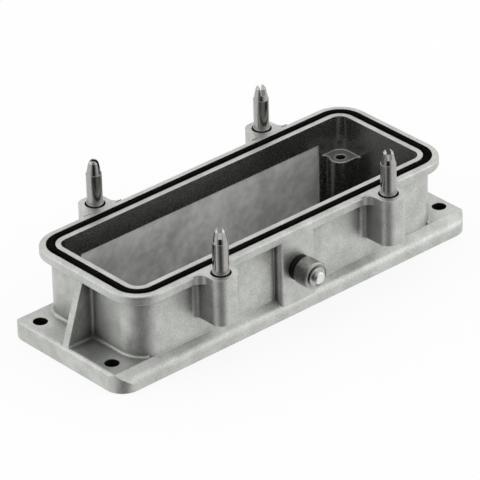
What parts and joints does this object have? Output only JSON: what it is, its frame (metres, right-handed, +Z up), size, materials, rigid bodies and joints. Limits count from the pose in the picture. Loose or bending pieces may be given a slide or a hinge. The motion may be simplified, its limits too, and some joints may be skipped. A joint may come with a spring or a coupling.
{
  "type": "heavy duty rectangular connector bulkhead housing",
  "caption": "Low die-cast bulkhead housing of a heavy duty rectangular power connector, with an open well for the contact insert, a sealed rim, guide posts and latch rollers.",
  "frame": {"origin": "middle of the mounting face: bottom centre of the bounding box", "axes": "+X along the long side, +Y across towards the back wall, +Z up out of the mounting panel along the guide posts"},
  "size_m": [0.1392, 0.068, 0.0424],
  "materials": {
    "cast_body": "fine sand-like cast surface, matt silver grey",
    "seal_rubber": "matt black",
    "gasket_rubber": "matt black",
    "post_steel": "turned and polished",
    "stud_steel": "turned, bright end",
    "roller_steel": "ground steel",
    "spacer_plastic": "black",
    "ring_steel": "bright spring steel"
  },
  "bodies": {
    "housing_body": {"housing": "cast_body", "rim_seal": "seal_rubber", "base_gasket": "gasket_rubber", "guide_post_front_left": "post_steel", "guide_post_front_right": "post_steel", "guide_post_back_left": "post_steel", "guide_post_back_right": "post_steel", "roller_stud_front": "stud_steel", "roller_spacer_front": "spacer_plastic", "retaining_ring_front": "ring_steel", "roller_stud_back": "stud_steel", "roller_spacer_back": "spacer_plastic", "retaining_ring_back": "ring_steel"},
    "front_roller_body": {"roller_front": "roller_steel"},
    "back_roller_body": {"roller_back": "roller_steel"}
  },
  "joints": [
    {"name": "roller_front_spin", "type": "hinge", "parent": "housing_body", "child": "front_roller_body", "pos_m": [0, -0.0294, 0.01495], "axis": [0, 1, 0], "continuous": true},
    {"name": "roller_back_spin", "type": "hinge", "parent": "housing_body", "child": "back_roller_body", "pos_m": [0, 0.0294, 0.01495], "axis": [0, 1, 0], "continuous": true}
  ]
}
